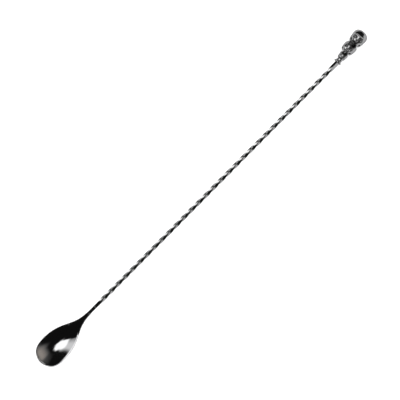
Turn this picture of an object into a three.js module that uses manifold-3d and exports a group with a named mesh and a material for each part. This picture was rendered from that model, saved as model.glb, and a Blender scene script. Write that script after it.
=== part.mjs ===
// Bar spoon: teardrop bowl, long twisted square rod, collar and a stack of three skull beads.
//
// Frame (millimetres): +X runs from the bowl to the finial, +Z is up (the bowl opens up),
// +Y is to the left when the finial points away. The spoon lies on a table at z = 0,
// on the bowl's keel and on the back of the top skull. x = 0 is half way along it.

import * as THREE from 'three';
import { mergeVertices } from 'three/addons/utils/BufferGeometryUtils.js';
import { ParametricGeometry } from 'three/addons/geometries/ParametricGeometry.js';
import Module from 'manifold-3d';

const { clamp, degToRad, smoothstep } = THREE.MathUtils;

// ---------------------------------------------------------------- shared dimensions (mm)
const LENGTH = 400;           // nominal, tip of the bowl to the crown of the top skull
const AXIS_Z = 7.0;           // height of the rod's axis above the table
const CENTRE_SHIFT = -0.28;   // moves every piece so that x = 0 is half way along
const GAP = 0.12;             // between beads; half of it at each end of the rod

const ROD_SIDE = 3.0;         // square rod, across flats
const ROD_START = -133.0;     // butt joint with the bowl's neck
const COLLAR_X = 165.5;       // shoulder of the rod, underside of the collar

const SPINE_L = 28.0;         // pin beyond the shoulder that carries the beads
const SPINE_LEAN = degToRad(3.6);   // towards +Y, from the shoulder
const SPINE_Y = 0.3;          // where it starts, to the side of the rod's axis

// ---------------------------------------------------------------- helpers
const wasm = await Module();
wasm.setup();

// Welds a closed geometry and makes it a manifold; collapsed triangles are left out.
function solid(geometry) {
  geometry.deleteAttribute('normal');
  geometry.deleteAttribute('uv');
  const welded = mergeVertices(geometry, 1e-4);
  const index = welded.index.array;
  const triangles = [];
  for (let i = 0; i < index.length; i += 3) {
    const [a, b, c] = index.subarray(i, i + 3);
    if (a !== b && b !== c && c !== a) triangles.push(a, b, c);
  }
  return new wasm.Manifold(new wasm.Mesh({
    numProp: 3,
    vertProperties: new Float32Array(welded.attributes.position.array),
    triVerts: new Uint32Array(triangles),
  }));
}

function geometryOf(manifold) {
  const mesh = manifold.getMesh();
  const geometry = new THREE.BufferGeometry();
  const positions = new Float32Array(mesh.vertProperties);
  geometry.setAttribute('position', new THREE.BufferAttribute(positions, 3));
  geometry.setIndex(new THREE.BufferAttribute(new Uint32Array(mesh.triVerts), 1));
  geometry.computeVertexNormals();
  return geometry;
}

// Natural cubic spline through [x, value] knots, flat beyond them.
function spline(knots) {
  const last = knots.length - 1;
  const bend = new Array(last + 1).fill(0);      // second derivative at each knot
  const ratio = new Array(last + 1).fill(0);     // forward sweep of the tridiagonal system
  const rest = new Array(last + 1).fill(0);
  const span = (i) => knots[i + 1][0] - knots[i][0];
  const slope = (i) => (knots[i + 1][1] - knots[i][1]) / span(i);
  for (let i = 1; i < last; i++) {
    const pivot = 2 * (span(i - 1) + span(i)) - span(i - 1) * ratio[i - 1];
    ratio[i] = span(i) / pivot;
    rest[i] = (6 * (slope(i) - slope(i - 1)) - span(i - 1) * rest[i - 1]) / pivot;
  }
  for (let i = last - 1; i > 0; i--) bend[i] = rest[i] - ratio[i] * bend[i + 1];

  return (x) => {
    if (x <= knots[0][0]) return knots[0][1];
    if (x >= knots[last][0]) return knots[last][1];
    let i = 0;
    while (x > knots[i + 1][0]) i++;
    const width = span(i);
    const before = x - knots[i][0];
    const after = knots[i + 1][0] - x;
    return (bend[i] * after ** 3 + bend[i + 1] * before ** 3) / (6 * width)
      + (knots[i][1] / width - bend[i] * width / 6) * after
      + (knots[i + 1][1] / width - bend[i + 1] * width / 6) * before;
  };
}

// Cylinder along X, from x = start to x = end.
function cylinderX(diameter, start, end, sides) {
  const length = end - start;
  return new THREE.CylinderGeometry(diameter / 2, diameter / 2, length, sides)
    .rotateZ(-Math.PI / 2)
    .translate(length / 2, 0, 0)
    .translate(start, 0, 0);
}

// Takes a geometry made along +X from the shoulder, leans it and sets it on the spine.
function onSpine(geometry) {
  return geometry.rotateZ(SPINE_LEAN).translate(COLLAR_X, SPINE_Y, AXIS_Z);
}

// ---------------------------------------------------------------- bowl
// Half-width of the plan outline at even steps of the square root of the distance
// from the tip, ending at the rod.
const OUTLINE = [
  0, 1.132, 2.364, 3.698, 5.102, 6.52, 7.888, 9.145, 10.244, 11.158, 11.882,
  12.424, 12.802, 13.041, 13.161, 13.177, 13.09, 12.885, 12.525, 11.959, 11.132, 10.003,
  8.571, 6.908, 5.202, 3.722, 2.66, 2.028, 1.7, 1.5, 1.5,
];
const BOWL_TIP = -LENGTH / 2;
const BOWL_DEPTH = 5.0;       // rim to the deepest point of the hollow
const DISH_POWER = 1.15;      // fullness of the hollow's section
const BOWL_CENTRE = -179.0;   // the hollow is polar about this point

const BOWL_WALL = 1.2;        // thickens to the rod's side between these two stations
const WALL_GROWS_FROM = -172;
const WALL_GROWS_TO = -146;

const RIM_SLOPE = 0.27;       // the rim rises to the tip
const RIM_EASE = 4;           // rounds the start of that rise
const RIM_AT_THROAT = 2.98;   // rim height where the neck starts
const THROAT_X = -159.0;
const NECK_RISE_FROM = THROAT_X - 3;   // the neck climbs to the rod's top between these
const NECK_RISE_TO = ROD_START - 1;

// Plan limits of the two skins: inset from the outline, the two ends, and the length
// over which each end is rounded off. The upper inset leaves a flat land round the hollow.
const HOLLOW = { inset: 1.1, tipEnd: BOWL_TIP + 1.2, neckEnd: -157.6, tipEase: 3, neckEase: 6 };
const UNDERSIDE = { inset: 0, tipEnd: BOWL_TIP, neckEnd: -155, tipEase: 0.01, neckEase: 10 };
const LIMIT_SAMPLES = 1200;
const LIMIT_ANGLES = 720;     // table steps over half a turn

const ROWS = 42;              // stations along the bowl
const ROW_CROWDING = 1.45;    // close rows at the tip, wide ones on the neck
const ACROSS = 14;            // segments across each skin
const ACROSS_ARC = 0.86 * Math.PI;     // sine spacing, closer towards the edges
const EDGE = 2;               // segments down each edge
const LOOP = 2 * (ACROSS + EDGE);
const TIP_HALF_WIDTH = 0.02;  // least half-width of a row

const SOCKET = { diameter: 1.85, length: 8.6, sides: 20 };
const OVERRUN = 1;            // socket past the neck's end, spigot into the rod

const outlineSpan = Math.sqrt(ROD_START - BOWL_TIP);
const outlineWidth = spline(OUTLINE.map((w, i) => [outlineSpan * i / (OUTLINE.length - 1), w]));
const halfWidth = (x) => Math.max(0, outlineWidth(Math.sqrt(Math.max(0, x - BOWL_TIP))));

function rimHeight(x) {
  const toTip = THROAT_X - x;
  const rise = RIM_SLOPE * 0.5 * (toTip + Math.sqrt(toTip * toTip + RIM_EASE ** 2));
  const neckRise = AXIS_Z + ROD_SIDE / 2 - RIM_AT_THROAT;
  return RIM_AT_THROAT + rise + neckRise * smoothstep(x, NECK_RISE_FROM, NECK_RISE_TO);
}

function wallAt(x) {
  return BOWL_WALL + (ROD_SIDE - BOWL_WALL) * smoothstep(x, WALL_GROWS_FROM, WALL_GROWS_TO);
}

// Returns a function of (x, y): distance from the bowl's centre as a share of the limit there.
function polarShare({ inset, tipEnd, neckEnd, tipEase, neckEase }) {
  const boundary = [];        // [angle, radius]
  for (let i = 0; i <= LIMIT_SAMPLES; i++) {
    const x = tipEnd + (neckEnd - tipEnd) * 0.5 * (1 - Math.cos(Math.PI * i / LIMIT_SAMPLES));
    const inside = clamp(Math.min((x - tipEnd) / tipEase, (neckEnd - x) / neckEase), 0, 1);
    const y = Math.max(0, halfWidth(x) - inset) * Math.sqrt(1 - (1 - inside) ** 2);
    boundary.push([Math.atan2(y, x - BOWL_CENTRE), Math.hypot(y, x - BOWL_CENTRE)]);
  }
  boundary.sort((a, b) => a[0] - b[0]);

  const limits = [];          // radius at even angles
  let j = 0;
  for (let i = 0; i <= LIMIT_ANGLES; i++) {
    const angle = Math.PI * i / LIMIT_ANGLES;
    while (j < boundary.length - 2 && boundary[j + 1][0] < angle) j++;
    const [angleA, radiusA] = boundary[j];
    const [angleB, radiusB] = boundary[j + 1];
    const part = clamp((angle - angleA) / (angleB - angleA || 1), 0, 1);
    limits.push(radiusA + (radiusB - radiusA) * part);
  }

  return (x, y) => {
    const step = Math.atan2(Math.abs(y), x - BOWL_CENTRE) / Math.PI * LIMIT_ANGLES;
    const i = Math.min(LIMIT_ANGLES - 1, Math.floor(step));
    const limit = limits[i] + (limits[i + 1] - limits[i]) * (step - i);
    return Math.hypot(x - BOWL_CENTRE, y) / limit;
  };
}

const hollowShare = polarShare(HOLLOW);
const underShare = polarShare(UNDERSIDE);
const dish = (share) => BOWL_DEPTH * (1 - Math.min(1, share) ** 2) ** DISH_POWER;
const topSkin = (x, y) => rimHeight(x) - dish(hollowShare(x, y));
const underSkin = (x, y) => rimHeight(x) - wallAt(x) - dish(underShare(x, y));
const midSkin = (x, y) => (topSkin(x, y) + underSkin(x, y)) / 2;

// Point k of the loop round the bowl at x, as [y, z]: over the top towards +Y,
// down that edge, back underneath and up the other edge.
function sectionPoint(x, k) {
  const width = Math.max(TIP_HALF_WIDTH, halfWidth(x));
  const across = (i) => width * Math.sin((i / ACROSS - 0.5) * ACROSS_ARC)
    / Math.sin(ACROSS_ARC / 2);
  if (k <= ACROSS) {
    const y = across(k);
    return [y, topSkin(x, y)];
  }
  if (k < ACROSS + EDGE) return [width, midSkin(x, width)];
  const under = k - ACROSS - EDGE;
  if (under <= ACROSS) {
    const y = -across(under);
    return [y, underSkin(x, y)];
  }
  return [-width, midSkin(x, -width)];
}

function bowl() {
  const skin = new ParametricGeometry((u, v, point) => {
    const row = Math.round((1 - v) * (ROWS + 2)) - 1;    // one extra row closes each end
    const along = clamp(row, 0, ROWS) / ROWS;
    const x = BOWL_TIP + (ROD_START - BOWL_TIP) * Math.pow(along, ROW_CROWDING);
    const isEndCap = row < 0 || row > ROWS;
    const [y, z] = isEndCap ? [0, midSkin(x, 0)] : sectionPoint(x, Math.round(u * LOOP) % LOOP);
    point.set(x, y, z);
  }, LOOP, ROWS + 2);
  const socket = cylinderX(SOCKET.diameter, -SOCKET.length, OVERRUN, SOCKET.sides)
    .translate(ROD_START, 0, AXIS_Z);
  return solid(skin).subtract(solid(socket));
}

// ---------------------------------------------------------------- shaft
const ROD_EDGE = 0.2;         // eased corner
const ROD_STEPS = 128;
const SPIGOT = { diameter: 1.7, length: 8.0, sides: 20 };   // lower end, in the neck's socket
const SPINE = { diameter: 2.4, root: 1.2, sides: 24 };      // root: depth into the rod

// [x, turn]: degrees, left-handed. Flat by the neck, a nearly even twist along the rod
// and an edge on top below the collar.
const TWIST = [
  [-133, 0], [-131.5, 0], [-130, 0.5], [-128.5, 3.3], [-127, 8.8], [-125.5, 16.9],
  [-124, 27.5], [-122.5, 40.8], [-121, 56.2], [-119, 76.9], [-114, 128.6], [-103, 241.6],
  [-92, 353.8], [-81, 465.3], [-70, 576], [-59, 686], [-48, 795.5], [-37, 904.5],
  [-26, 1013], [-15, 1121.2], [-4, 1229], [7, 1336.7], [18, 1444.1], [29, 1551.5],
  [40, 1658.8], [51, 1766.1], [62, 1873.6], [73, 1981.3], [84, 2089.1], [95, 2197.3],
  [106, 2305.9], [117, 2415], [128, 2524.5], [139, 2634.7], [151, 2755.5], [153, 2775.8],
  [154.5, 2790.9], [156, 2806.1], [157.5, 2819.6], [159, 2828.9], [160.5, 2833.9],
  [161.5, 2835], [162.5, 2835], [165.5, 2835],
];

function twistedRod() {
  const flat = ROD_SIDE / 2;
  const corner = flat - ROD_EDGE;
  const square = new THREE.Shape([
    [flat, -corner], [flat, corner], [corner, flat], [-corner, flat],
    [-flat, corner], [-flat, -corner], [-corner, -flat], [corner, -flat],
  ].map(([y, z]) => new THREE.Vector2(y, z)));
  const start = ROD_START + GAP / 2;
  const depth = COLLAR_X - GAP / 2 - start;
  const rod = new THREE.ExtrudeGeometry(square, { depth, steps: ROD_STEPS, bevelEnabled: false });

  const turnAt = spline(TWIST);
  const position = rod.attributes.position;
  for (let i = 0; i < position.count; i++) {
    const x = start + position.getZ(i);
    const turn = degToRad(turnAt(x));    // from +Z to +Y as x grows
    const y = position.getX(i);
    const z = position.getY(i);
    position.setXYZ(
      i,
      x,
      y * Math.cos(turn) + z * Math.sin(turn),
      -y * Math.sin(turn) + z * Math.cos(turn) + AXIS_Z,
    );
  }
  return solid(rod);
}

function shaft() {
  const spigot = cylinderX(SPIGOT.diameter, -SPIGOT.length, OVERRUN, SPIGOT.sides)
    .translate(ROD_START + GAP / 2, 0, AXIS_Z);
  const spine = onSpine(cylinderX(SPINE.diameter, -SPINE.root, SPINE_L, SPINE.sides));
  return twistedRod().add(solid(spigot)).add(solid(spine));
}

// ---------------------------------------------------------------- bores for the spine
const BORE = { diameter: 2.6, sides: 24, entry: 3, throughLength: 60, endClearance: 0.3 };

const bore = (start, end) => solid(onSpine(cylinderX(BORE.diameter, start, end, BORE.sides)));
const throughBore = () => bore(-BORE.entry, BORE.throughLength - BORE.entry);
const blindBore = (along) => bore(along - BORE.entry, SPINE_L + BORE.endClearance);

// ---------------------------------------------------------------- collar
const COLLAR_H = 3.5;
const COLLAR_SIDES = 30;
const SEAT_D = 5.0;           // shallow counterbore that the rod's shoulder sits in
const SEAT_DEPTH = 0.25;
// Flared side: [distance from the shoulder, radius].
const COLLAR_PROFILE = [
  [-SEAT_DEPTH, 3.45], [-0.02, 3.7], [0.36, 3.64], [0.7, 3.35], [1.0, 3.03],
  [1.45, 2.68], [2.1, 2.46], [2.85, 2.4], [COLLAR_H, 2.3],
];

function collar() {
  const profile = [
    [0, 0], [0, SEAT_D / 2], [-SEAT_DEPTH, SEAT_D / 2], ...COLLAR_PROFILE, [COLLAR_H, 0],
  ].map(([along, radius]) => new THREE.Vector2(radius, along));
  const body = new THREE.LatheGeometry(profile, COLLAR_SIDES)
    .rotateZ(-Math.PI / 2)
    .translate(COLLAR_X, SPINE_Y, AXIS_Z);
  return solid(body).subtract(throughBore());
}

// ---------------------------------------------------------------- skull beads
const COLLAR_CLEARANCE = 0.3; // between the collar and the lower skull

// Height along the spine, width across the cheeks and depth front to back are in mm.
// yaw: degrees from facing straight up, + towards +Y. shift: mm to +Y against the bore.
// The rest is in the unit skull: vault is the half-height of the brain case, before its top
// is cut flat; brow is how far out the forehead is cut, and curve how round it is.
const SKULLS = [
  {
    name: 'lower_skull', height: 7.2, width: 7.75, depth: 8.4, yaw: 2, shift: 0,
    vault: 0.46, brow: 0.745, curve: 0.3,
    eye: { up: 0.37, apart: 0.26, size: 1.05, depth: 0.20 },
  },
  {
    name: 'middle_skull', height: 9.95, width: 12.2, depth: 11.8, yaw: 9, shift: 0.4,
    vault: 0.46, brow: 0.80, curve: 0.45,
    eye: { up: 0.44, apart: 0.20, size: 1.1, depth: 0.27 },
  },
  {
    name: 'top_skull', height: 13.95, width: 13.65, depth: 14.0, yaw: 0, shift: -0.15,
    vault: 0.40, brow: 0.745, curve: 0.75,
    eye: { up: 0.365, apart: 0.235, size: 1.0, depth: 0.205 },
  },
];
const FOREHEAD = { y: 0.86, z: 0.69, offset: 0.012 };   // direction the cut faces; shift outward
const BACK_BROADENING = 0.25; // change of the brain case's width per unit of depth

// Ellipsoid, squared off in plan and in height where the powers are above 2.
function ball(centre, radii, sides, { plan = 2, power = 2 } = {}) {
  const geometry = new THREE.SphereGeometry(1, sides, Math.round(sides * 0.7))
    .rotateX(Math.PI / 2);
  const position = geometry.attributes.position;
  const point = new THREE.Vector3();
  for (let i = 0; i < position.count; i++) {
    const [x, y, z] = point.fromBufferAttribute(position, i).toArray().map(Math.abs);
    const size = ((x ** plan + y ** plan) ** (power / plan) + z ** power) ** (1 / power);
    position.setXYZ(i, point.x / size, point.y / size, point.z / size);
  }
  return solid(geometry.scale(...radii).translate(...centre));
}

// Block whose rounded near face slopes back over the forehead.
function foreheadCutter({ brow, curve }) {
  const scale = Math.hypot(FOREHEAD.y, FOREHEAD.z);
  const face = brow / scale + FOREHEAD.offset;
  const cutter = new THREE.BoxGeometry(1.6, 2, 4, 8, 1, 1).translate(0, 1 + face, 0);
  const position = cutter.attributes.position;
  for (let i = 0; i < position.count; i++) {
    const y = position.getY(i);
    const onFace = y < face + 0.1;
    if (onFace) position.setY(i, y - curve / scale * position.getX(i) ** 2);
  }
  return solid(cutter.rotateX(Math.atan2(FOREHEAD.z, FOREHEAD.y)));
}

// Unit skull: +Z crown, +Y face, +X its right; height 1, width and depth about 1.
function unitSkull(spec) {
  const { up, apart, size, depth } = spec.eye;
  const brainCase = ball([0, -0.03, 0.60], [0.49, 0.47, spec.vault], 22, { plan: 2.05, power: 2.3 })
    .warp((vertex) => { vertex[0] *= 1 - BACK_BROADENING * vertex[1]; });
  const jaws = ball([0, 0.01, 0.27], [0.45, 0.43, 0.33], 18, { plan: 2.5, power: 2.6 });
  const browRidge = ball([0, 0.335, up + 0.14], [0.33, 0.125, 0.065], 12);
  const cheekbone = (side) => ball([0.33 * side, 0.20, 0.28], [0.125, 0.20, 0.075], 8);
  const eyeSocket = (side) =>
    ball([apart * side, 0.475, up], [0.138 * size, depth, 0.115 * size], 12);
  const noseBridge = ball([0, 0.37, 0.40], [0.075, 0.115, 0.14], 10);
  const noseOpening = ball([0, 0.49, 0.232], [0.075, 0.095, 0.05], 8);
  const upperJaw = ball([0, 0.32, 0.158], [0.21, 0.135, 0.055], 12);
  const block = (z) => solid(new THREE.BoxGeometry(4, 4, 1).translate(0, 0, z));

  return brainCase
    .subtract(foreheadCutter(spec))
    .add(jaws)
    .add(browRidge)
    .add(cheekbone(-1))
    .add(cheekbone(1))
    .subtract(eyeSocket(-1))
    .subtract(eyeSocket(1))
    .add(noseBridge)
    .subtract(noseOpening)
    .add(upperJaw)
    .subtract(block(-0.5))    // flat seats at heights 0 and 1
    .subtract(block(1.5));
}

function skull(spec, along, spineBore) {
  const crownToFinial = new THREE.Matrix4().makeBasis(    // and the face to +Z
    new THREE.Vector3(0, 1, 0),
    new THREE.Vector3(0, 0, 1),
    new THREE.Vector3(1, 0, 0),
  );
  const geometry = geometryOf(unitSkull(spec))
    .scale(spec.width, spec.depth, spec.height)
    .applyMatrix4(crownToFinial)
    .rotateX(degToRad(-spec.yaw))
    .translate(0, spec.shift, 0)
    .translate(along, 0, 0);
  return solid(onSpine(geometry)).subtract(spineBore);
}

// ---------------------------------------------------------------- the scene graph
function blackNickel() {
  return new THREE.MeshStandardMaterial({ color: 0x55565a, roughness: 0.18, metalness: 1 });
}

const group = new THREE.Group();

function addPiece(name, manifold) {
  const geometry = geometryOf(manifold.translate([CENTRE_SHIFT, 0, 0]));
  const mesh = new THREE.Mesh(geometry, blackNickel());
  mesh.name = name;
  group.add(mesh);
}

addPiece('bowl', bowl());
addPiece('shaft', shaft());
addPiece('collar', collar());

let along = COLLAR_H + COLLAR_CLEARANCE;
for (const spec of SKULLS) {
  const isTop = spec === SKULLS.at(-1);
  addPiece(spec.name, skull(spec, along, isTop ? blindBore(along) : throughBore()));
  along += spec.height + GAP;
}

export default group;
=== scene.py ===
"""Bar spoon in black nickel: dished bowl, twisted square rod, turned collar and three skull beads.

The spoon lies along X, with the bowl's tip at -X and the skulls at +X. The hollow opens
upwards and the floor is at z = 0. The skulls' spine leans towards +Y. Geometry is worked in
millimetres and stored in metres.
"""
import math

import bpy
import numpy as np
from mathutils import Matrix, Vector


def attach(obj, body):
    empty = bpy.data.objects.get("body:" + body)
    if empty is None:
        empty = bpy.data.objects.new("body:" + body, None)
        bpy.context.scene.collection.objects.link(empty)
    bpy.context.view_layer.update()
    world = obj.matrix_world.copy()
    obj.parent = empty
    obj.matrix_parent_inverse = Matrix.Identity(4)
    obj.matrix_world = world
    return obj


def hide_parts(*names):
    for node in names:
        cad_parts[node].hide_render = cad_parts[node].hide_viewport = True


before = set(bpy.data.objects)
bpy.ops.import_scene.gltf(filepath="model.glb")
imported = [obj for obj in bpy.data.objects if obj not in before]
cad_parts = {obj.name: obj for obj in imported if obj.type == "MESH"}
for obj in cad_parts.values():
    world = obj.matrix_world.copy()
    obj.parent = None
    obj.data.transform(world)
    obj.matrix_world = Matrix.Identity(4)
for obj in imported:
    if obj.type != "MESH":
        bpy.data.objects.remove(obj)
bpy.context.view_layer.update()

MM = 0.001
CENTRING_X = -0.28    # added to every x, so that x = 0 is half way along the spoon

TIP = -200.0
ROD_START = -133.0
BOWL_LENGTH = ROD_START - TIP
AXIS_Z = 7.0
ROD_SIDE = 3.0

# the spine that carries the beads starts at the shoulder
SHOULDER_X = 165.5
SPINE_Y = 0.3
LEAN = math.radians(3.6)
BORE_RADIUS = 1.3
PIN_RADIUS = 1.2
PIN_LENGTH = 28.0
PIN_BEVEL = 0.3
COLLAR_LENGTH = 3.5

# ------------------------------------------------------------------ curves and meshes


def spline(xs, ys):
    """Natural cubic spline through the knots, flat beyond them."""
    xs, ys = np.asarray(xs, float), np.asarray(ys, float)
    n = len(xs)
    gap = np.diff(xs)
    system = np.zeros((n, n))
    target = np.zeros(n)
    system[0, 0] = system[-1, -1] = 1.0
    for i in range(1, n - 1):
        system[i, i - 1 : i + 2] = gap[i - 1], 2 * (gap[i - 1] + gap[i]), gap[i]
        target[i] = 6 * ((ys[i + 1] - ys[i]) / gap[i] - (ys[i] - ys[i - 1]) / gap[i - 1])
    bend = np.linalg.solve(system, target)

    def at(x):
        x = np.clip(np.asarray(x, float), xs[0], xs[-1])
        i = np.clip(np.searchsorted(xs, x) - 1, 0, n - 2)
        width = gap[i]
        after, before = x - xs[i], xs[i + 1] - x
        return (
            bend[i] * before**3 / (6 * width)
            + bend[i + 1] * after**3 / (6 * width)
            + (ys[i] / width - bend[i] * width / 6) * before
            + (ys[i + 1] / width - bend[i + 1] * width / 6) * after
        )

    return at


def smooth(start, end, x):
    """0 up to start, 1 from end, eased between them."""
    t = np.clip((np.asarray(x, float) - start) / (end - start), 0, 1)
    return t * t * (3 - 2 * t)


def ramp(start, end, first, last, x):
    """Eases from the value first at x = start to the value last at x = end."""
    return first + (last - first) * smooth(start, end, x)


def mesh_object(name, verts_mm, faces):
    mesh = bpy.data.meshes.new(name)
    verts_mm = np.asarray(verts_mm, float) + (CENTRING_X, 0.0, 0.0)
    mesh.from_pydata((verts_mm * MM).tolist(), [], faces)
    mesh.validate(clean_customdata=False)
    mesh.polygons.foreach_set("use_smooth", [True] * len(mesh.polygons))
    mesh.update()
    piece = bpy.data.objects.new(name, mesh)
    bpy.context.scene.collection.objects.link(piece)
    return piece


def outward(verts, faces):
    """Turns every face round if the closed skin's volume comes out negative."""
    v = np.asarray(verts, float)
    total = 0.0
    for f in faces:
        for k in range(1, len(f) - 1):
            total += np.dot(v[f[0]], np.cross(v[f[k]], v[f[k + 1]]))
    return faces if total > 0 else [f[::-1] for f in faces]


def loft_object(name, rings, caps=None):
    """Closed skin through rings (n, m, 3).

    caps holds the points that the first and last rings fan to. Without them the last ring
    joins the first.
    """
    rings = np.asarray(rings, float)
    n, m = rings.shape[:2]
    verts = rings.reshape(-1, 3)
    i = np.arange(n if caps is None else n - 1)[:, None]
    j = np.arange(m)[None, :]
    i2, j2 = (i + 1) % n, (j + 1) % m
    quads = np.stack([i * m + j, i * m + j2, i2 * m + j2, i2 * m + j], -1)
    faces = quads.reshape(-1, 4).tolist()
    if caps is not None:
        first, last = n * m, n * m + 1
        base = (n - 1) * m
        faces += [[first, (k + 1) % m, k] for k in range(m)]
        faces += [[last, base + k, base + (k + 1) % m] for k in range(m)]
        verts = np.vstack([verts, np.array(caps, float)])
    return mesh_object(name, verts, outward(verts, faces))


def axis_angle(ring):
    """Angle of each point of a ring round the rod's axis."""
    return np.arctan2(ring[:, 2] - AXIS_Z, ring[:, 1])


def axis_ring(x, radius, angle, side=0.0):
    """Ring square to X; radius is a number or one value for each point."""
    return np.stack(
        [
            np.full(len(angle), x),
            side + radius * np.cos(angle),
            AXIS_Z + radius * np.sin(angle),
        ],
        -1,
    )


def lean(points):
    """Moves (along the spine from the shoulder, side, up) to the leaning spine."""
    p = np.asarray(points, float)
    c, s = math.cos(LEAN), math.sin(LEAN)
    return np.stack(
        [
            SHOULDER_X + p[..., 0] * c - p[..., 1] * s,
            SPINE_Y + p[..., 0] * s + p[..., 1] * c,
            AXIS_Z + p[..., 2],
        ],
        -1,
    )


def spine_ring(along, radius, angle):
    ring = [np.full(len(angle), along), radius * np.cos(angle), radius * np.sin(angle)]
    return lean(np.stack(ring, -1))


# ------------------------------------------------------------------ bowl

# plan half-widths at even steps of the square root of the distance from the tip
OUTLINE_WIDTHS = [
    0.0, 1.132, 2.364, 3.698, 5.102, 6.52, 7.888, 9.145, 10.244, 11.158, 11.882,
    12.424, 12.802, 13.041, 13.161, 13.177, 13.09, 12.885, 12.525, 11.959, 11.132,
    10.003, 8.571, 6.908, 5.202, 3.722, 2.66, 2.028, 1.7, 1.5, 1.5,
]
outline_spline = spline(np.linspace(0, math.sqrt(BOWL_LENGTH), 31), OUTLINE_WIDTHS)

HOLLOW_DEPTH = 5.0
BOWL_WALL = 1.2
LAND = 1.1    # flat margin between the hollow and the outline
LAND_FALL = 0.38
HOLLOW_CENTRE = -179.0
HOLLOW_TIP = -198.8
HOLLOW_THROAT = -157.6
THROAT = -159.0
RIM_SLOPE = 0.27
RIM_AT_THROAT = 2.98
RIM_EASE = 4.0
EDGE_ROLL = math.radians(50)
BOWL_FILLET = 0.80
NECK_FILLET = 0.24
BEVEL_WIDTH = 0.32
BEVEL_SLOPE = 1.28
END_BEVEL = 0.03
SOCKET_MOUTH_RADIUS = 0.98
SOCKET_RADIUS = 0.925


def half_width(x):
    distance = np.maximum(np.asarray(x, float) - TIP, 0)
    return np.maximum(outline_spline(np.sqrt(distance)), 0)


def rim_height(x):
    """Straight rise to the tip, eased at the throat, then up to the rod's top face."""
    x = np.asarray(x, float)
    before = THROAT - x
    rise = RIM_SLOPE * 0.5 * (before + np.sqrt(before * before + RIM_EASE**2))
    to_rod = AXIS_Z + ROD_SIDE / 2 - RIM_AT_THROAT
    return RIM_AT_THROAT + rise + to_rod * smooth(THROAT - 3, ROD_START - 1, x)


def dish(rho):
    """Depth law of the hollow: 1 in the middle, 0 at its edge."""
    return (1 - np.clip(rho, 0, 1) ** 2) ** 1.15


def polar_limit(land, tip_end, throat_end, tip_ease, throat_ease):
    """Fraction of the way from the hollow's centre to a limit curve.

    The curve is the outline pulled in by land and closed off over the two ease lengths.
    """
    xs = tip_end + (throat_end - tip_end) * 0.5 * (1 - np.cos(np.linspace(0, math.pi, 1200)))
    width = np.maximum(half_width(xs) - land, 0)
    end = np.clip(np.minimum((xs - tip_end) / tip_ease, (throat_end - xs) / throat_ease), 0, 1)
    width = width * np.sqrt(1 - (1 - end) ** 2)
    angle = np.arctan2(width, xs - HOLLOW_CENTRE)
    radius = np.hypot(width, xs - HOLLOW_CENTRE)
    order = np.argsort(angle)
    even_angle = np.linspace(0, math.pi, 721)
    limit = np.interp(even_angle, angle[order], radius[order])
    # a light smoothing round the curve keeps the reflections even
    reach = 6
    kernel = np.hanning(2 * reach + 1)
    kernel /= kernel.sum()
    padded = np.r_[limit[reach:0:-1], limit, limit[-2 : -2 - reach : -1]]
    limit = np.convolve(padded, kernel, "valid")

    def rho(x, y):
        angle = np.arctan2(np.abs(y), x - HOLLOW_CENTRE)
        return np.hypot(x - HOLLOW_CENTRE, y) / np.interp(angle, even_angle, limit)

    return rho


def edge_distance(x, y):
    """Distance in plan from a point to the outline."""
    outline_x = TIP + np.linspace(0, math.sqrt(BOWL_LENGTH), 2600) ** 2
    outline = np.stack([outline_x, half_width(outline_x)], 1)
    points = np.stack([np.ravel(x), np.abs(np.ravel(y))], 1)
    distance = np.empty(len(points))
    batch = 4000    # keeps the table of distances small
    for i in range(0, len(points), batch):
        apart = points[i : i + batch, None, :] - outline[None]
        distance[i : i + batch] = np.sqrt((apart**2).sum(-1).min(1))
    return distance.reshape(np.shape(x))


def bowl_piece():
    rho_hollow = polar_limit(LAND, HOLLOW_TIP, HOLLOW_THROAT, tip_ease=3.0, throat_ease=6.0)
    rho_under = polar_limit(0.0, TIP, -155.0, tip_ease=0.01, throat_ease=10.0)
    rows, half = 330, 60
    xs = TIP + np.linspace(0.03, math.sqrt(BOWL_LENGTH), rows) ** 2
    phi = np.linspace(-math.pi / 2, math.pi / 2, 2 * half + 1)
    x = np.repeat(xs[:, None], len(phi), 1)
    y = half_width(xs)[:, None] * np.sin(phi)[None]
    inset = edge_distance(x, y)
    inset[:, 0] = inset[:, -1] = 0.0
    # the edge rolls over to EDGE_ROLL, then falls straight
    fillet = ramp(-152, -134, BOWL_FILLET, NECK_FILLET, xs)[:, None]
    roll = np.maximum(fillet * math.sin(EDGE_ROLL) - inset, 0)
    drop = fillet - np.sqrt(fillet**2 - roll**2)
    # a fine bevel along both sides of the upper edge
    bevel_width = BEVEL_WIDTH * smooth(-190, -178, x) * smooth(-130, -140, x)
    bevel = BEVEL_SLOPE * np.maximum(bevel_width - inset, 0)
    # the land falls a little towards the hollow
    rim = rim_height(x) - LAND_FALL * np.minimum(inset, LAND) * smooth(-146, -158, x)
    top = rim - HOLLOW_DEPTH * dish(rho_hollow(x, y)) - drop - bevel
    wall = ramp(-172, -146, BOWL_WALL, ROD_SIDE, x)
    under = rim_height(x) - wall - HOLLOW_DEPTH * dish(rho_under(x, y)) + drop
    upper = np.stack([x, y, top], -1)
    lower = np.stack([x, y, under], -1)[:, ::-1]
    rings = np.concatenate([upper, lower], 1)
    tip = rings[0].mean(0)
    tip[0] = TIP
    # the square end face, then the blind socket inside the neck
    last = rings[-1]
    angle = axis_angle(last)
    end_radius = np.hypot(last[:, 2] - AXIS_Z, last[:, 1])
    socket = [
        axis_ring(ROD_START, end_radius - END_BEVEL, angle),
        axis_ring(ROD_START, SOCKET_MOUTH_RADIUS, angle),
        axis_ring(ROD_START - 0.06, SOCKET_RADIUS, angle),
        axis_ring(ROD_START - 8.6, SOCKET_RADIUS, angle),
    ]
    rings = np.concatenate([rings, np.array(socket)], 0)
    return loft_object("bowl_polished", rings, caps=(tip, (ROD_START - 8.9, 0, AXIS_Z)))


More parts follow.
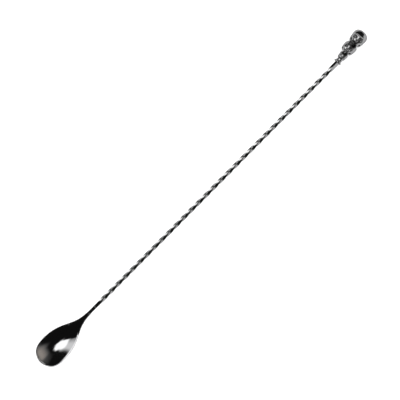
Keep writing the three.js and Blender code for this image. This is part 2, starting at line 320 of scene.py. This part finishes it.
# ------------------------------------------------------------------ twisted rod

# (x, turn in degrees)
TWIST = [
    (-133.0, 0.0), (-131.5, 0.0), (-130.0, 0.5), (-128.5, 3.3), (-127.0, 8.8),
    (-125.5, 16.9), (-124.0, 27.5), (-122.5, 40.8), (-121.0, 56.2), (-119.0, 76.9),
    (-114.0, 128.6), (-103.0, 241.6), (-92.0, 353.8), (-81.0, 465.3), (-70.0, 576.0),
    (-59.0, 686.0), (-48.0, 795.5), (-37.0, 904.5), (-26.0, 1013.0), (-15.0, 1121.2),
    (-4.0, 1229.0), (7.0, 1336.7), (18.0, 1444.1), (29.0, 1551.5), (40.0, 1658.8),
    (51.0, 1766.1), (62.0, 1873.6), (73.0, 1981.3), (84.0, 2089.1), (95.0, 2197.3),
    (106.0, 2305.9), (117.0, 2415.0), (128.0, 2524.5), (139.0, 2634.7), (151.0, 2755.5),
    (153.0, 2775.8), (154.5, 2790.9), (156.0, 2806.1), (157.5, 2819.6), (159.0, 2828.9),
    (160.5, 2833.9), (161.5, 2835.0), (162.5, 2835.0), (165.5, 2835.0),
]
ROD_EDGE_RADIUS = 0.2
TENON_RADIUS = 0.85


def square_ring(side, edge, flat_points=8, corner_steps=5):
    """Rounded square, anticlockwise, as (y, z) pairs."""
    r = side / 2
    quarter = [(r, -r + edge + (2 * r - 2 * edge) * t) for t in np.linspace(0, 1, flat_points)]
    quarter += [
        (r - edge + edge * math.cos(t), r - edge + edge * math.sin(t))
        for t in np.linspace(0, math.pi / 2, corner_steps + 1)[1:-1]
    ]
    points = []
    for k in range(4):
        c, s = math.cos(k * math.pi / 2), math.sin(k * math.pi / 2)
        points += [(c * y - s * z, s * y + c * z) for y, z in quarter]
    return np.array(points)


def shaft_piece():
    section = square_ring(ROD_SIDE, ROD_EDGE_RADIUS)
    start, end = ROD_START + 0.05, SHOULDER_X - 0.06
    twist_start, twist_end = -128, 158
    stations = np.r_[
        np.linspace(start, twist_start, 12),
        np.linspace(twist_start, twist_end, 900),
        np.linspace(twist_end, end, 26),
    ]
    xs = np.unique(np.round(stations, 5))
    turn = np.radians(spline(*zip(*TWIST))(xs))[:, None]
    y, z = section[:, 0][None], section[:, 1][None]
    rings = np.stack(
        [
            np.repeat(xs[:, None], len(section), 1),
            y * np.cos(turn) + z * np.sin(turn),
            AXIS_Z - y * np.sin(turn) + z * np.cos(turn),
        ],
        -1,
    )
    angle = axis_angle(rings[0])
    tenon = [
        axis_ring(start - 8.0, 0.7, angle),
        axis_ring(start - 7.8, TENON_RADIUS, angle),
        axis_ring(start - 0.02, TENON_RADIUS, angle),
        axis_ring(start, 0.9, angle),
    ]
    angle = axis_angle(rings[-1])
    pin = [
        axis_ring(end, 1.25, angle),
        spine_ring(0.1, PIN_RADIUS, angle),
        spine_ring(PIN_LENGTH - PIN_BEVEL, PIN_RADIUS, angle),
        spine_ring(PIN_LENGTH, 0.95, angle),
    ]
    rings = np.concatenate([np.array(tenon), rings, np.array(pin)], 0)
    caps = ((start - 8.0, 0, AXIS_Z), lean([PIN_LENGTH, 0.0, 0.0]))
    return loft_object("twisted_rod", rings, caps)


# ------------------------------------------------------------------ collar

# (x from the shoulder, radius, corner rounding)
COLLAR_PROFILE = [
    (0.0, 1.34, 0), (0.0, 2.5, 0.05), (-0.25, 2.5, 0.05), (-0.25, 3.7, 0.28),
    (0.5, 3.65, 0.35), (0.95, 3.05, 0.6), (1.5, 2.65, 0.9), (2.2, 2.42, 1.2),
    (COLLAR_LENGTH, 2.38, 0.2), (COLLAR_LENGTH, 1.34, 0.03),
]
COLLAR_BORE_LIMIT = 1.5    # profile points inside this radius belong to the bore


def rounded(profile, steps=5):
    """Closed (x, radius) polygon with its corners rounded."""
    out = []
    points = [np.array(entry[:2], float) for entry in profile]
    for i, (corner, entry) in enumerate(zip(points, profile)):
        rounding = entry[2]
        if rounding <= 0:
            out.append(corner)
            continue
        back = points[i - 1] - corner
        ahead = points[(i + 1) % len(points)] - corner
        back_length, ahead_length = np.linalg.norm(back), np.linalg.norm(ahead)
        back, ahead = back / back_length, ahead / ahead_length
        half = math.acos(np.clip(back @ ahead, -1, 1)) / 2
        # the arc takes less than half of either side
        cut = min(rounding / math.tan(half), 0.48 * back_length, 0.48 * ahead_length)
        radius = cut * math.tan(half)
        middle = (back + ahead) / np.linalg.norm(back + ahead)
        centre = corner + middle * radius / math.sin(half)
        start, end = corner + back * cut - centre, corner + ahead * cut - centre
        cosine = start @ end / (np.linalg.norm(start) * np.linalg.norm(end))
        arc = math.acos(np.clip(cosine, -1, 1))
        for k in range(steps + 1):
            t = k / steps
            arm = math.sin((1 - t) * arc) * start + math.sin(t * arc) * end
            out.append(centre + arm / math.sin(arc))
    return out


def collar_piece():
    angle = np.linspace(0, 2 * math.pi, 120, endpoint=False)
    rings = []
    for x, radius in rounded(COLLAR_PROFILE):
        # the bore leans with the spine, the outside stays square to X
        if radius < COLLAR_BORE_LIMIT:
            rings.append(spine_ring(x, BORE_RADIUS, angle))
        else:
            rings.append(axis_ring(SHOULDER_X + x, radius, angle, side=SPINE_Y))
    return loft_object("collar_turned", rings)


# ------------------------------------------------------------------ skull beads
# The field works in the skull's own proportions: (sideways -0.5..0.5, towards the face
# -0.5..0.5, up from the seat 0 to the crown 1). It is negative inside.


def ellipsoid(p, centre, radii):
    q = (p - np.array(centre, np.float32)) / np.array(radii, np.float32)
    reach = np.sqrt((q**2).sum(-1))
    steepness = np.sqrt(((q / np.array(radii, np.float32)) ** 2).sum(-1))
    return reach * (reach - 1) / np.maximum(steepness, 1e-6)


def capsule(p, start, end, start_radius, end_radius=None):
    start, end = np.array(start, np.float32), np.array(end, np.float32)
    end_radius = start_radius if end_radius is None else end_radius
    line = end - start
    t = np.clip(((p - start) @ line) / (line @ line), 0, 1)
    q = p - start - t[..., None] * line
    return np.sqrt((q**2).sum(-1)) - (start_radius + (end_radius - start_radius) * t)


def block(p, centre, radii, plan, power):
    """Rounded block: the power law plan seen from above, power up the height."""
    q = np.abs((p - np.array(centre, np.float32)) / np.array(radii, np.float32))
    flat = q[..., 0] ** plan + q[..., 1] ** plan
    return ((flat ** (power / plan) + q[..., 2] ** power) ** (1 / power) - 1) * min(radii)


def join(a, b, blend):
    t = np.clip(0.5 + 0.5 * (b - a) / blend, 0, 1)
    return b + (a - b) * t - blend * t * (1 - t)


def carve(a, b, blend):
    return -join(-a, b, blend)


def skull_field(
    p, slope=0.745, eye_height=0.365, eye_side=0.235, eye_size=1.0, eye_depth=0.205,
    crown=0.40, curve=0.75, teeth=2,
):
    """slope: where the sloping forehead starts; crown: how far the vault would rise;
    curve: roundness of the forehead; teeth: gaps either side of the middle one."""
    side, face, up = np.abs(p[..., 0]), p[..., 1], p[..., 2]
    half = np.stack([side, face, up], -1)
    ones = np.ones_like(side)
    egg = half / np.stack([1.0 - 0.25 * face, ones, ones], -1)    # broader behind
    # brain case, then the forehead sloping back
    d = block(egg, (0, -0.03, 0.60), (0.49, 0.47, crown), plan=2.05, power=2.3)
    forehead = 0.86 * face + 0.69 * up + curve * side * side - slope
    d = carve(d, -forehead, 0.10)
    # base and mass of the cheeks
    d = join(d, block(half, (0, 0.01, 0.27), (0.45, 0.43, 0.33), plan=2.5, power=2.6), 0.09)
    brow_start, brow_end = (0.0, 0.395, eye_height + 0.135), (0.27, 0.345, eye_height + 0.15)
    d = join(d, capsule(half, brow_start, brow_end, 0.058, 0.045), 0.06)
    # cheekbone and the hollow under it
    d = join(d, capsule(half, (0.27, 0.33, 0.245), (0.40, 0.05, 0.31), 0.07, 0.05), 0.07)
    d = carve(d, ellipsoid(half, (0.36, 0.40, 0.11), (0.12, 0.15, 0.10)), 0.09)
    # eye socket
    eye_radii = (0.138 * eye_size, eye_depth, 0.115 * eye_size)
    d = carve(d, ellipsoid(half, (eye_side, 0.475, eye_height), eye_radii), 0.03)
    # nose bridge and opening
    bridge_top = (0, 0.395, eye_height + 0.125)
    d = join(d, capsule(half, bridge_top, (0, 0.425, 0.30), 0.075, 0.06), 0.045)
    d = carve(d, ellipsoid(half, (0.034, 0.49, 0.232), (0.045, 0.09, 0.05)), 0.025)
    # upper jaw
    d = join(d, capsule(half, (0.0, 0.405, 0.155), (0.17, 0.34, 0.16), 0.055, 0.05), 0.045)
    # gaps between the teeth: in the mirrored half, each side gap is carved twice
    for k in range(-teeth, teeth + 1):
        x = abs(k) * 0.062
        front = 0.468 - 0.9 * x * x / 0.25
        d = carve(d, capsule(half, (x, front, 0.105), (x, front - 0.01, 0.165), 0.012), 0.012)
    # the bite
    return carve(d, capsule(half, (0.0, 0.465, 0.088), (0.24, 0.37, 0.092), 0.018), 0.02)


def surface_nets(field, low, high, cells):
    """Closed quad skin of field < 0 on a grid, each vertex moved on to the surface."""
    low, high = np.array(low, float), np.array(high, float)
    step = (high - low).max() / cells
    count = np.ceil((high - low) / step).astype(int) + 1
    axes = [low[i] + step * np.arange(count[i]) for i in range(3)]
    points = np.stack(np.meshgrid(*axes, indexing="ij"), -1).astype(np.float32)
    values = np.empty(points.shape[:3], np.float32)
    slab = 16
    for i in range(0, count[0], slab):
        values[i : i + slab] = field(points[i : i + slab])
    inside = values < 0

    # one vertex in each cell that the surface crosses, at the mean of its edge crossings
    shape = [n - 1 for n in count]
    total = np.zeros((*shape, 3))
    hits = np.zeros(shape)
    corners = [(x, y, z) for z in (0, 1) for y in (0, 1) for x in (0, 1)]

    def at_corner(corner):
        return values[tuple(slice(o, o + n) for o, n in zip(corner, shape))]

    for i, a in enumerate(corners):
        for b in corners[i + 1 :]:
            if sum(abs(x - y) for x, y in zip(a, b)) != 1:
                continue
            value_a, value_b = at_corner(a), at_corner(b)
            cross = (value_a < 0) != (value_b < 0)
            t = np.where(cross, value_a / np.where(cross, value_a - value_b, 1), 0)
            for k in range(3):
                total[..., k] += np.where(cross, a[k] + (b[k] - a[k]) * t, 0)
            hits += cross
    active = hits > 0
    index = np.full(shape, -1)
    index[active] = np.arange(active.sum())
    base = np.stack(np.nonzero(active), -1)
    verts = low + step * (base + total[active] / hits[active][:, None])

    # one quad round each grid edge that the surface crosses
    faces = []
    for axis in range(3):
        u, v = (axis + 1) % 3, (axis + 2) % 3
        here, after = [slice(None)] * 3, [slice(None)] * 3
        here[axis], after[axis] = slice(0, -1), slice(1, None)
        inside_here = inside[tuple(here)]
        where = np.stack(np.nonzero(inside_here != inside[tuple(after)]), -1)
        for k in (u, v):
            where = where[(where[:, k] > 0) & (where[:, k] < count[k] - 1)]
        leaving = inside_here[tuple(where.T)]
        quad = []
        for du, dv in ((-1, -1), (0, -1), (0, 0), (-1, 0)):
            cell = where.copy()
            cell[:, u] += du
            cell[:, v] += dv
            quad.append(index[tuple(cell.T)])
        quad = np.stack(quad, -1)
        quad[~leaving] = quad[~leaving][:, ::-1]
        faces.append(quad)

    probe = step * 0.35
    for _ in range(3):
        p = verts.astype(np.float32)
        value = field(p).astype(float)
        slopes = []
        for k in range(3):
            offset = np.eye(3, dtype=np.float32)[k] * probe
            slopes.append((field(p + offset) - field(p - offset)) / (2 * probe))
        gradient = np.stack(slopes, -1).astype(float)
        move = -(value / np.maximum((gradient**2).sum(-1), 0.05))[:, None] * gradient
        size = np.linalg.norm(move, axis=1, keepdims=True)
        verts = verts + move * np.minimum(1, 0.45 * step / np.maximum(size, 1e-9))
    return verts, np.concatenate(faces)


BEAD_GAP = 0.12
LOWER_HEIGHT = 7.2
MIDDLE_HEIGHT = 9.95
LOWER_SEAT = COLLAR_LENGTH + 0.30
# size: width, depth to the face, height; seat: place along the spine; yaw: turn in degrees
# about the spine; shift: sideways offset of the shape from the bore; cells: grid cells
# along the longest side; shape: arguments of skull_field
BEADS = {
    "lower_skull": dict(
        size=(7.75, 8.4, LOWER_HEIGHT), seat=LOWER_SEAT, yaw=2.0, shift=0.0, cells=84,
        shape=dict(
            teeth=1, crown=0.46, curve=0.3,
            eye_height=0.37, eye_side=0.26, eye_size=1.05, eye_depth=0.20,
        ),
    ),
    "middle_skull": dict(
        size=(12.2, 11.8, MIDDLE_HEIGHT), seat=LOWER_SEAT + LOWER_HEIGHT + BEAD_GAP,
        yaw=9.0, shift=0.4, cells=100,
        shape=dict(
            slope=0.80, crown=0.46, curve=0.45,
            eye_height=0.44, eye_side=0.20, eye_size=1.1, eye_depth=0.27,
        ),
    ),
    "top_skull": dict(
        size=(13.65, 14.0, 13.95),
        seat=LOWER_SEAT + LOWER_HEIGHT + MIDDLE_HEIGHT + 2 * BEAD_GAP,
        yaw=0.0, shift=-0.15, cells=124, shape={},
    ),
}


def skull_piece(node):
    bead = BEADS[node]
    width, depth, height = bead["size"]
    size = np.array(bead["size"], np.float32)
    is_top = node == "top_skull"
    # the top bead's bore is blind, the others' go right through
    bore_top = (PIN_LENGTH + 0.3 - bead["seat"]) / height if is_top else 9.0
    yaw = math.radians(bead["yaw"])
    c, s = math.cos(yaw), math.sin(yaw)
    shift = bead["shift"]
    offset = np.array([-c * shift / width, s * shift / depth, 0.0], np.float32)

    def field(p):
        d = skull_field(p - offset, **bead["shape"])
        d = np.maximum(d, -p[..., 2])    # flat seat
        if not is_top:
            d = np.maximum(d, p[..., 2] - 1.0)    # flat crown
        q = p * size
        radial = np.hypot(q[..., 0], q[..., 1]) - BORE_RADIUS
        bore = np.maximum(radial, (p[..., 2] - bore_top) * size[2]) / size[0]
        return np.maximum(d, -bore)

    cells = bead["cells"]
    verts, faces = surface_nets(field, (-0.56, -0.58, -0.05), (0.56, 0.58, 1.06), cells)
    v = verts * size
    # face upwards and turned towards +Y, crown along the spine
    local = np.stack(
        [bead["seat"] + v[:, 2], -c * v[:, 0] + s * v[:, 1], s * v[:, 0] + c * v[:, 1]], -1
    )
    leaning = lean(local)
    return mesh_object(node + "_cast", leaning, outward(leaning, faces.tolist()))


# ------------------------------------------------------------------ materials


class Nodes:
    """Short calls for building a node tree; values may be sockets or constants."""

    def __init__(self, tree):
        self.tree = tree

    def add(self, kind, inputs=None, **props):
        node = self.tree.nodes.new(kind)
        for name, value in props.items():
            setattr(node, name, value)
        for key, value in (inputs or {}).items():
            self.put(node.inputs[key], value)
        return node

    def put(self, socket, value):
        if isinstance(value, bpy.types.NodeSocket):
            self.tree.links.new(value, socket)
        else:
            socket.default_value = value

    def math(self, operation, *values, clamp=False):
        inputs = dict(enumerate(values))
        return self.add("ShaderNodeMath", inputs, operation=operation, use_clamp=clamp).outputs[0]

    def dot(self, a, b):
        node = self.add("ShaderNodeVectorMath", {0: a, 1: b}, operation="DOT_PRODUCT")
        return node.outputs["Value"]

    def ramp(self, x, start, end, kind="LINEAR"):
        """0 at start, 1 at end."""
        inputs = {"Value": x, "From Min": start, "From Max": end}
        return self.add("ShaderNodeMapRange", inputs, interpolation_type=kind).outputs["Result"]

    def step(self, x, start, end):
        return self.ramp(x, start, end, "SMOOTHSTEP")

    def band(self, x, rise, fall):
        """Rises smoothly to 1 over rise, falls back to 0 over fall."""
        up = self.step(x, *rise)
        down = self.math("SUBTRACT", 1.0, self.step(x, *fall))
        return self.math("MULTIPLY", up, down)

    def noise(self, vector, scale, detail=2.0, rough=0.5, distortion=0.0):
        inputs = {
            "Vector": vector, "Scale": scale, "Detail": detail,
            "Roughness": rough, "Distortion": distortion,
        }
        return self.add("ShaderNodeTexNoise", inputs).outputs["Fac"]

    def mix(self, factor, a, b):
        node = self.add("ShaderNodeMix", data_type="RGBA")
        self.put(node.inputs["Factor"], factor)
        colours = [i for i in node.inputs if i.type == "RGBA"]
        self.put(colours[0], a)
        self.put(colours[1], b)
        return [o for o in node.outputs if o.type == "RGBA"][0]


# colours of the plate, the last one a painted shade for the pits of the cast beads
NICKEL_COOL = (0.335, 0.338, 0.345, 1)
NICKEL_WARM = (0.385, 0.383, 0.380, 1)
NICKEL_WORN = (0.47, 0.465, 0.455, 1)
NICKEL_PAINTED_PIT_SHADE = (0.085, 0.083, 0.082, 1)


def black_nickel(name, *, hair_scale, hair_stretch, roughness, bump, cast=False):
    """Polished black nickel plate: dark mirror with hairline marks, smudges and worn edges.

    A cast surface also gets painted shade in its pits, and is duller there.
    """
    mat = bpy.data.materials.new(name)
    mat.use_nodes = True
    mat.node_tree.nodes.clear()
    n = Nodes(mat.node_tree)
    out = n.add("ShaderNodeOutputMaterial")
    bsdf = n.add("ShaderNodeBsdfPrincipled")
    n.put(out.inputs["Surface"], bsdf.outputs[0])
    place = n.add("ShaderNodeTexCoord").outputs["Object"]
    pointiness = n.add("ShaderNodeNewGeometry").outputs["Pointiness"]
    # hairline marks: noise stretched by hair_stretch
    stretched = n.add("ShaderNodeMapping", {"Vector": place, "Scale": hair_stretch}).outputs[0]
    hair = n.noise(stretched, hair_scale, detail=3.0, rough=0.62)
    smudge = n.noise(place, 90.0, detail=3.0, rough=0.55, distortion=0.6)
    cloud = n.noise(place, 24.0)
    edge = n.ramp(pointiness, start=0.52, end=0.60)
    # how far worn edges take on their worn colour and pits take on painted shade
    edge_tint, pit_shade_strength = 0.55, 0.75
    base = n.mix(cloud, NICKEL_COOL, NICKEL_WARM)
    base = n.mix(n.math("MULTIPLY", edge, edge_tint), base, NICKEL_WORN)
    if cast:
        # painted shade: the cast's pits and recesses are darkened in colour to stand for the shade
        # inside them
        pit_shade_mask = n.ramp(pointiness, start=0.48, end=0.40)
        base = n.mix(n.math("MULTIPLY", pit_shade_mask, pit_shade_strength), base, NICKEL_PAINTED_PIT_SHADE)
    n.put(bsdf.inputs["Base Color"], base)
    n.put(bsdf.inputs["Metallic"], 1.0)
    n.put(bsdf.inputs["Specular Tint"], (0.5, 0.5, 0.5, 1))
    # roughness added by smudges, hairlines and pits
    smudge_dull, hair_dull, pit_dull = 0.05, 0.03, 0.16
    dull = n.math("MULTIPLY_ADD", smudge, smudge_dull, roughness - 0.02)
    dull = n.math("MULTIPLY_ADD", hair, hair_dull, dull)
    if cast:
        dull = n.math("MULTIPLY_ADD", pit_shade_mask, pit_dull, dull)
    n.put(bsdf.inputs["Roughness"], dull)
    relief = n.add("ShaderNodeBump", {"Strength": bump, "Distance": 0.00002, "Height": hair})
    n.put(bsdf.inputs["Normal"], relief.outputs[0])
    return mat


bowl_metal = black_nickel(
    "black_nickel_bowl", hair_scale=900.0, hair_stretch=(0.25, 1.0, 1.0), roughness=0.05, bump=0.12
)
rod_metal = black_nickel(
    "black_nickel_rod", hair_scale=1500.0, hair_stretch=(0.04, 1.0, 1.0), roughness=0.06, bump=0.15
)
turned_metal = black_nickel(
    "black_nickel_turned", hair_scale=2200.0, hair_stretch=(1.0, 0.05, 0.05),
    roughness=0.07, bump=0.15,
)
cast_metal = black_nickel(
    "black_nickel_cast", hair_scale=500.0, hair_stretch=(1.0, 1.0, 1.0),
    roughness=0.08, bump=0.22, cast=True,
)

# ------------------------------------------------------------------ pieces


def fit(node, piece, metal):
    piece.data.materials.append(metal)
    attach(piece, "root")
    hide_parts(node)


fit("bowl", bowl_piece(), bowl_metal)
fit("shaft", shaft_piece(), rod_metal)
fit("collar", collar_piece(), turned_metal)
for bead_node in BEADS:
    fit(bead_node, skull_piece(bead_node), cast_metal)

# ------------------------------------------------------------------ floor, world, light, camera

VIEW_TURN = math.radians(45.248)    # the spoon's axis above the picture's horizontal
RIGHT = (math.cos(VIEW_TURN), -math.sin(VIEW_TURN), 0.0)
UP = (math.sin(VIEW_TURN), math.cos(VIEW_TURN), 0.0)
TARGET = ((-3.266 + CENTRING_X) * MM, 0.680 * MM, AXIS_Z * MM)
CAMERA_DISTANCE = 1.3
VIEW_WIDTH = 347.08 * MM    # width in view at the target
SENSOR_WIDTH = 36.0
FLOOR_HALF = 4.0


def add_floor():
    mesh = bpy.data.meshes.new("floor")
    corners = [(FLOOR_HALF * x, FLOOR_HALF * y, 0) for x, y in ((-1, -1), (1, -1), (1, 1), (-1, 1))]
    mesh.from_pydata(corners, [], [(0, 1, 2, 3)])
    floor = bpy.data.objects.new("floor", mesh)
    floor.location = (0, 0, -0.00005)
    bpy.context.scene.collection.objects.link(floor)
    mat = bpy.data.materials.new("floor_paper")
    mat.use_nodes = True
    n = Nodes(mat.node_tree)
    bsdf = mat.node_tree.nodes["Principled BSDF"]
    n.put(bsdf.inputs["Roughness"], 0.9)
    n.put(bsdf.inputs["Specular IOR Level"], 0.1)
    place = n.add("ShaderNodeTexCoord").outputs["Object"]
    mottle = n.noise(place, 40.0, detail=3.0)
    paper = n.mix(mottle, (0.86, 0.86, 0.86, 1), (0.89, 0.89, 0.888, 1))
    n.put(bsdf.inputs["Base Color"], paper)
    mesh.materials.append(mat)
    floor.visible_glossy = False


def add_world():
    """Studio seen in the reflections; the camera itself sees plain white."""
    world = bpy.data.worlds.new("studio")
    bpy.context.scene.world = world
    world.use_nodes = True
    world.node_tree.nodes.clear()
    n = Nodes(world.node_tree)
    direction = n.add("ShaderNodeTexCoord").outputs["Generated"]
    dir_z, dir_up, dir_right, dir_y = (
        n.dot(direction, axis) for axis in ((0, 0, 1), UP, RIGHT, (0, 1, 0))
    )
    # degrees from straight up, spread on the picture's right and up
    turn = n.math("MULTIPLY", n.math("ARCCOSINE", dir_z), 180 / math.pi)
    up_squared = n.math("MULTIPLY", dir_up, dir_up)
    right_squared = n.math("MULTIPLY", dir_right, dir_right)
    flat = n.math("SQRT", n.math("ADD", up_squared, right_squared))
    flat = n.math("MAXIMUM", flat, 1e-4)
    rightward = n.math("MULTIPLY", turn, n.math("DIVIDE", dir_right, flat))
    upward = n.math("MULTIPLY", turn, n.math("DIVIDE", dir_up, flat))
    # pale surroundings below a horizon that stands higher towards -Y
    horizon_tilt, horizon_drop, low_strength = 0.2, 0.04, 1.05
    raised = n.math("ADD", dir_z, horizon_drop)
    horizon = n.math("MULTIPLY_ADD", dir_y, horizon_tilt, raised)
    low = n.math("SUBTRACT", 1.0, n.step(horizon, -0.04, 0.04))
    low = n.math("MULTIPLY", low, low_strength)
    # the panels' own axes, tilted from the picture's
    tilt = math.radians(14)
    c, s = math.cos(tilt), math.sin(tilt)
    along = n.math("MULTIPLY_ADD", rightward, c, n.math("MULTIPLY", upward, -s))
    across = n.math("MULTIPLY_ADD", rightward, s, n.math("MULTIPLY", upward, c))

    def panel(across_rise, across_fall, along_rise, along_fall, strength):
        across_band = n.band(across, across_rise, across_fall)
        along_band = n.band(along, along_rise, along_fall)
        return n.math("MULTIPLY", n.math("MULTIPLY", across_band, along_band), strength)

    # wide soft box, its tail off to the left and a narrow spill; edges in degrees
    box = panel((10.6, 17.7), (28.1, 40.6), (-46.7, -17.4), (6.9, 23.4), strength=6.0)
    tail = panel((14.7, 28.7), (35.1, 44.4), (-80.0, -62.0), (-30.0, -11.5), strength=1.6)
    spill = panel((1.5, 13.4), (34.5, 42.2), (-7.2, 4.1), (12.0, 17.8), strength=1.6)
    # a dim strip round the right-hand side: degrees from straight up, radians round
    strip_height = n.band(turn, rise=(46.0, 67.0), fall=(62.0, 70.5))
    bearing = n.math("ARCTAN2", dir_up, dir_right)
    strip_round = n.band(bearing, rise=(-0.45, 0.40), fall=(0.53, 1.13))
    strip = n.math("MULTIPLY", strip_height, strip_round)
    strip_strength, ambient, brightest = 0.9, 0.012, 2.8
    strip = n.math("MULTIPLY", strip, strip_strength)
    high = box
    for part in (tail, spill, strip, ambient):
        high = n.math("ADD", high, part)
    high = n.math("MINIMUM", high, brightest)
    upper_half = n.step(dir_z, -0.02, 0.02)
    level = n.math("MAXIMUM", low, n.math("MULTIPLY", high, upper_half))
    camera_ray = n.add("ShaderNodeLightPath").outputs["Is Camera Ray"]
    seen = n.math("MULTIPLY_ADD", camera_ray, 1.0, 0.0)
    # inputs: factor, reflected level, level the camera sees
    strength = n.add("ShaderNodeMix", {0: seen, 2: level, 3: 1.0}, data_type="FLOAT")
    background = n.add("ShaderNodeBackground", {"Strength": strength.outputs[0]})
    warmth = n.math("MULTIPLY", strip, 1.8, clamp=True)
    n.put(background.inputs["Color"], n.mix(warmth, (1, 1, 1, 1), (1.0, 0.9, 0.82, 1)))
    n.add("ShaderNodeOutputWorld", {"Surface": background.outputs[0]})


def add_light():
    light = bpy.data.lights.new("overhead_soft", "AREA")
    light.shape = "SQUARE"
    light.size = 2.6
    light.energy = 95.0
    lamp = bpy.data.objects.new("overhead_soft", light)
    lamp.location = (0.0, 0.0, 1.7)
    lamp.rotation_euler = Vector((0.0, 0.0, -1.7)).to_track_quat("-Z", "Y").to_euler()
    lamp.visible_glossy = False
    lamp.visible_camera = False
    bpy.context.scene.collection.objects.link(lamp)


def add_camera():
    """Looks straight down, turned about Z by the view's turn."""
    data = bpy.data.cameras.new("camera")
    data.type = "PERSP"
    data.sensor_width = SENSOR_WIDTH
    data.lens = SENSOR_WIDTH * CAMERA_DISTANCE / VIEW_WIDTH
    data.clip_start = 0.01
    data.clip_end = 50.0
    camera = bpy.data.objects.new("camera", data)
    turned = Matrix((RIGHT, UP, (0.0, 0.0, 1.0))).transposed().to_4x4()
    place = Vector((TARGET[0], TARGET[1], TARGET[2] + CAMERA_DISTANCE))
    camera.matrix_world = Matrix.Translation(place) @ turned
    bpy.context.scene.collection.objects.link(camera)
    bpy.context.scene.camera = camera


add_floor()
add_world()
add_light()
add_camera()

view = bpy.context.scene.view_settings
view.view_transform = "Standard"
view.look = "None"
view.exposure = 0.0
view.gamma = 1.0

bpy.context.view_layer.update()
